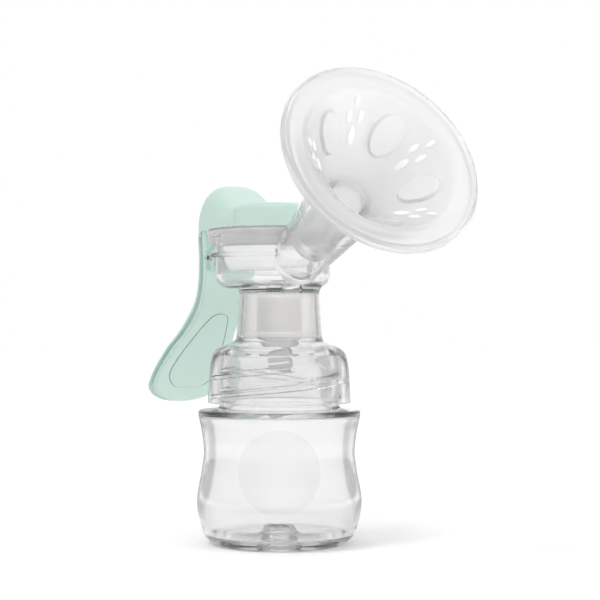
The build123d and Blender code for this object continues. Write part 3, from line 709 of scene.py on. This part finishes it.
def makeInnerShell():
    # sections across the lever: front face with the pad's pocket, round edge, and the seam's inset neck
    h = handle
    padEnds = padLine[[0, -1], 1] + [-0.02, 0.02]
    z = np.unique(np.concatenate([leverHeights(h["innerHead"]), padLine[:, 1], padEnds]))
    w = halfWidth(z)
    padHalf = np.interp(z, padLine[:, 1], padLine[:, 0], left=0, right=0)
    onPad = (padHalf > 0.02).astype(float)
    pocket = h["padPocket"] * onPad
    edgeOfPad = np.maximum(padHalf + h["padGap"], 0.4)
    small = np.clip(w / 8.0, 0, 1)       # shrinks the details in the narrow tip
    edgeRound = 1.5
    rim = h["thickness"] - h["outerShell"] - h["seam"]
    back = h["thickness"] - h["outerShell"] - 0.05
    # half a section as (Y, depth behind the inner face), from its middle out and round to its back
    half = [(edgeOfPad * k / 6 * np.minimum(1, w / 8), pocket) for k in range(7)]
    half.append((half[-1][0] + 0.06 * small, 0 * w))
    for k in range(1, 5):
        start, end = half[7][0], w - edgeRound * small
        half.append((start + (end - start) * k / 4, 0 * w))
    for k in range(1, 7):
        t = math.pi / 2 * k / 6
        half.append((w - edgeRound * small * (1 - math.sin(t)), edgeRound * (1 - math.cos(t)) + 0 * w))
    half += [(w, 0 * w + rim - 0.3), (w - 0.1 * small, 0 * w + rim - 0.1), (w - 0.3 * small, 0 * w + rim)]
    neck = w - h["seamInset"] * small
    half += [(neck, 0 * w + rim), (neck, 0 * w + back), (0 * w, 0 * w + back)]
    y = np.stack([p[0] for p in half], -1)
    depth = np.stack([p[1] for p in half], -1)
    y = np.hstack([y, -y[:, -2:0:-1]])
    depth = np.hstack([depth, depth[:, -2:0:-1]])
    edge = np.clip((z - h["tip"]) / h["edge"], 0, 1)
    squeeze = np.sqrt(1 - (1 - edge) ** 2)[:, None]
    depth = back - (back - depth) * squeeze
    x = np.stack([leverX(z, d) for d in (0.0, h["thickness"])], -1)
    x = x[:, :1] + (x[:, 1:] - x[:, :1]) * depth / h["thickness"]
    points = np.stack([x, y, np.broadcast_to(z[:, None], y.shape)], -1)
    lid = points[-1:].copy()
    lid[..., 1] = 0
    lid[..., 0] = points[-1, :, 0].mean()
    return meshPiece("handleInner", [np.vstack([points, lid])], mintPlastic)


def makePad():
    # the grip pad: a soft-edged slab that follows the lever's inner face
    h = handle
    rows = padLine
    turn = np.linspace(0, 2 * math.pi, 64, endpoint=False)
    y = rows[:, :1] * np.abs(np.cos(turn)) ** 0.3 * np.sign(np.cos(turn))
    lift = np.abs(np.sin(turn)) ** 0.55 * np.sign(np.sin(turn))
    close = np.clip(rows[:, :1] / 1.5, 0, 1)
    seat = h["padPocket"] - 0.05          # the pad stops just short of its pocket's floor
    middle, half = (seat - h["padProud"]) / 2, (seat + h["padProud"]) / 2
    depth = middle - half * lift * close
    z = np.broadcast_to(rows[:, 1:2], y.shape)
    x = leverX(z, 0.0)
    x = x + (leverX(z, h["thickness"]) - x) * depth / h["thickness"]
    piece = meshPiece("gripPad", [np.stack([x, y, z], -1)], mintRubber)
    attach(piece, "handle")
    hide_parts("handle_grip_pad")


hook = {"x": -38.5, "z": 123.85, "barRadius": 1.25, "reach": 2.8, "middle": 8.6, "width": 5.0}


def makeHooks():
    # two hooks under the head of the lever: a side profile that wraps the bar, carried across Y
    c = hook
    turn = np.linspace(math.pi / 2, -math.pi / 2, 24)
    nose = np.stack([c["x"] + c["reach"] * np.cos(turn), c["z"] + c["reach"] * np.sin(turn)], -1)
    gap = c["barRadius"] + 0.2
    seat = np.linspace(-0.72 * math.pi, 0.9 * math.pi, 24)
    seat = np.stack([c["x"] + gap * np.cos(seat), c["z"] + gap * np.sin(seat)], -1)
    outline = np.vstack([[(-47.6, c["z"] + 4.6)], nose, [(-40.4, c["z"] - 3.3)], seat,
                         [(-41.2, c["z"] + 0.4), (-42.0, c["z"] - 3.9), (-47.6, c["z"] - 5.6)]])
    grids = []
    for side in (-1, 1):
        across = side * c["middle"] + np.array([-0.5, -0.44, 0.44, 0.5]) * c["width"]
        inset = np.array([0.94, 1.0, 1.0, 0.94])
        middle = outline.mean(axis=0)
        rings = [np.column_stack([middle[0] + (outline[:, 0] - middle[0]) * k, np.full(len(outline), y),
                                  middle[1] + (outline[:, 1] - middle[1]) * k])
                 for y, k in zip(across, inset)]
        lids = [np.repeat(ring.mean(axis=0)[None], len(outline), axis=0) for ring in (rings[0], rings[-1])]
        grids.append(np.stack([lids[0], *rings, lids[1]]))
    piece = meshPiece("handleHooks", grids, mintPlastic)
    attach(piece, "handle")


print("handle shapes ready")
outerShell = makeOuterShell()
for hoodCut in handle["hoodCuts"]:
    combine(outerShell, stadium(*hoodCut), "DIFFERENCE")
outerShell.data.set_sharp_from_angle(angle=math.radians(sharpAngle))
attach(outerShell, "handle")
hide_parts("handle_outer_shell")
innerShell = makeInnerShell()
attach(innerShell, "handle")
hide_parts("handle_inner_shell")
makeHooks()
makePad()
print("handle made")

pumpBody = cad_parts["pump_body"]
pumpBody.material_slots[0].material = clearPlastic
pumpBody.visible_shadow = pumpBody.visible_diffuse = False   # lamps reach what is inside it


# the studio is in metres
studio = {
    "floorSize": 8.0, "floorWhite": "#E1E1E1", "floorGlow": 0.27,
    "skyFront": 1.1, "skySide": 0.4, "sideFrom": 0.1, "sideTo": 0.75,
    # lamps stand at (towards the camera, to its right, up) and point at the aim height
    "sunPower": 1.15, "sunAngle": 24.0, "sunPlace": (0.5, -0.8, 1.5),
    "fillPower": 4.4, "fillSize": 0.5, "fillPlace": (0.4, 0.95, 0.25),
    "aimHeight": 0.09,
}
flags = {
    # how far the grey cards reach towards the camera, aside at their near and far ends, behind and up
    "front": 0.04, "near": 0.041, "inner": 0.066, "outer": 0.25, "behind": 0.28,
    "low": 0.0006, "height": 0.09,
    "level": 0.58, "softIn": (0.041, 0.07), "softOut": (0.11, 0.24), "softBack": (-0.04, 0.05),
}
camera = {
    "heading": 62.35,            # degrees from -Y towards +X
    "distance": 0.71886, "height": 0.0958, "lens": 100.11, "sensor": 36.0, "shift": (0.0345, 0.0344),
    "clipStart": 0.01,
}
heading = math.radians(camera["heading"])
towardCamera = np.array([math.sin(heading), -math.cos(heading), 0.0])
cameraRight = np.array([math.cos(heading), math.sin(heading), 0.0])


def studioPoint(towards, right, up):
    return towardCamera * towards + cameraRight * right + np.array([0, 0, up])


def makeFloor():
    # a plain square of matt paper that glows a little, so that it stays near white away from the lamps
    material = bpy.data.materials.new("white paper sweep")
    material.use_nodes = True
    paper = material.node_tree.nodes["Principled BSDF"]
    paper.inputs["Base Color"].default_value = linear(studio["floorWhite"])
    paper.inputs["Roughness"].default_value = 0.9
    paper.inputs["Specular IOR Level"].default_value = 0.0
    paper.inputs["Emission Color"].default_value = (1, 1, 1, 1)
    paper.inputs["Emission Strength"].default_value = studio["floorGlow"]
    half = studio["floorSize"] / 2
    mesh = bpy.data.meshes.new("floor")
    corners = [(-half, -half, 0), (half, -half, 0), (half, half, 0), (-half, half, 0)]
    mesh.from_pydata(corners, [], [(0, 1, 2, 3)])
    mesh.materials.append(material)
    floor = bpy.data.objects.new("floor", mesh)
    bpy.context.scene.collection.objects.link(floor)


def makeSky():
    # seen straight on it is plain white; what lights and glazes the object darkens towards two sides
    world = bpy.data.worlds.new("studio")
    bpy.context.scene.world = world
    world.use_nodes = True
    tree = world.node_tree
    tree.nodes.clear()
    direction = addNode(tree, "ShaderNodeTexCoord")
    sideways = addNode(
        tree, "ShaderNodeVectorMath", {1: tuple(cameraRight)},
        {0: direction.outputs["Generated"]}, operation="DOT_PRODUCT",
    )
    size = addNode(tree, "ShaderNodeMath", links={0: sideways.outputs["Value"]}, operation="ABSOLUTE")
    level = addNode(
        tree, "ShaderNodeMapRange",
        {"From Min": studio["sideFrom"], "From Max": studio["sideTo"],
         "To Min": studio["skyFront"], "To Max": studio["skySide"]},
        {"Value": size.outputs[0]}, interpolation_type="SMOOTHSTEP",
    )
    around = addNode(tree, "ShaderNodeBackground", {"Color": (1, 1, 1, 1)}, {"Strength": level.outputs[0]})
    plain = addNode(tree, "ShaderNodeBackground", {"Color": (1, 1, 1, 1), "Strength": 1.0})
    path = addNode(tree, "ShaderNodeLightPath")
    both = addNode(
        tree, "ShaderNodeMixShader",
        links={0: path.outputs["Is Camera Ray"], 1: around.outputs[0], 2: plain.outputs[0]},
    )
    addNode(tree, "ShaderNodeOutputWorld", links={"Surface": both.outputs[0]})


def makeFlags():
    # two soft-edged grey cards lie beside the object and stand up behind it: they darken the clear walls'
    # edges, and only light that is bent or mirrored meets them
    f = flags
    card = bpy.data.materials.new("grey card")
    card.use_nodes = True
    tree = card.node_tree
    tree.nodes.clear()
    place = addNode(tree, "ShaderNodeTexCoord")
    aside = addNode(
        tree, "ShaderNodeVectorMath", {1: tuple(cameraRight)},
        {0: place.outputs["Object"]}, operation="DOT_PRODUCT",
    )
    aside = addNode(tree, "ShaderNodeMath", links={0: aside.outputs["Value"]}, operation="ABSOLUTE")
    begins, ends = (
        addNode(
            tree, "ShaderNodeMapRange",
            {"From Min": low, "From Max": high, "To Min": first, "To Max": 1 - first},
            {"Value": aside.outputs[0]}, interpolation_type="SMOOTHSTEP",
        )
        for low, high, first in ((*f["softIn"], 0.0), (*f["softOut"], 1.0))
    )
    share = addNode(tree, "ShaderNodeMath", links={0: begins.outputs[0], 1: ends.outputs[0]},
                    operation="MULTIPLY")
    depth = addNode(
        tree, "ShaderNodeVectorMath", {1: tuple(-towardCamera)},
        {0: place.outputs["Object"]}, operation="DOT_PRODUCT",
    )
    depth = addNode(
        tree, "ShaderNodeMapRange", {"From Min": f["softBack"][0], "From Max": f["softBack"][1]},
        {"Value": depth.outputs["Value"]}, interpolation_type="SMOOTHSTEP",
    )
    share = addNode(tree, "ShaderNodeMath", links={0: share.outputs[0], 1: depth.outputs[0]},
                    operation="MULTIPLY")
    glow = addNode(tree, "ShaderNodeEmission", {"Color": (1, 1, 1, 1), "Strength": f["level"]})
    clear = addNode(tree, "ShaderNodeBsdfTransparent")
    both = addNode(tree, "ShaderNodeMixShader",
                   links={0: share.outputs[0], 1: clear.outputs[0], 2: glow.outputs[0]})
    addNode(tree, "ShaderNodeOutputMaterial", links={"Surface": both.outputs[0]})
    for name, side in (("flagLeft", -1), ("flagRight", 1)):
        near, inner, outer = (cameraRight * side * f[key] for key in ("near", "inner", "outer"))
        start = towardCamera * f["front"]
        back = -towardCamera * f["behind"]
        low, high = np.array([0, 0, f["low"]]), np.array([0, 0, f["height"]])
        corners = [start + near + low, start + outer + low, outer + back + low, inner + back + low,
                   outer + back + high, inner + back + high]
        mesh = bpy.data.meshes.new(name)
        mesh.from_pydata([tuple(p) for p in corners], [], [(0, 1, 2, 3), (3, 2, 4, 5)])
        mesh.materials.append(card)
        flag = bpy.data.objects.new(name, mesh)
        bpy.context.scene.collection.objects.link(flag)
        flag.visible_camera = flag.visible_diffuse = flag.visible_shadow = False


def makeLamp(name, kind, place, power, **settings):
    # a soft lamp at that place, turned towards the middle of the object
    lamp = bpy.data.objects.new(name, bpy.data.lights.new(name, kind))
    lamp.data.energy = power
    for key, value in settings.items():
        setattr(lamp.data, key, value)
    lamp.location = place
    lamp.visible_glossy = lamp.visible_transmission = False
    lamp.rotation_mode = "QUATERNION"
    lamp.rotation_quaternion = Vector(np.array([0, 0, studio["aimHeight"]]) - place).to_track_quat("-Z", "Y")
    bpy.context.scene.collection.objects.link(lamp)


def makeCamera():
    # level, looking at the upright axis from its heading
    view = bpy.data.objects.new("camera", bpy.data.cameras.new("camera"))
    view.location = towardCamera * camera["distance"] + np.array([0, 0, camera["height"]])
    view.rotation_euler = (math.pi / 2, 0, heading)
    view.data.lens, view.data.sensor_width = camera["lens"], camera["sensor"]
    view.data.shift_x, view.data.shift_y = camera["shift"]
    view.data.clip_start = camera["clipStart"]
    bpy.context.scene.collection.objects.link(view)
    bpy.context.scene.camera = view


makeFloor()
makeSky()
makeFlags()
makeLamp("sun", "SUN", studioPoint(*studio["sunPlace"]), studio["sunPower"],
         angle=math.radians(studio["sunAngle"]))
makeLamp("fill", "AREA", studioPoint(*studio["fillPlace"]), studio["fillPower"], size=studio["fillSize"])
makeCamera()
scene = bpy.context.scene
scene.view_settings.view_transform = "Standard"
scene.cycles.max_bounces = 32
scene.cycles.transmission_bounces = 32
scene.cycles.transparent_max_bounces = 16
print("studio made")
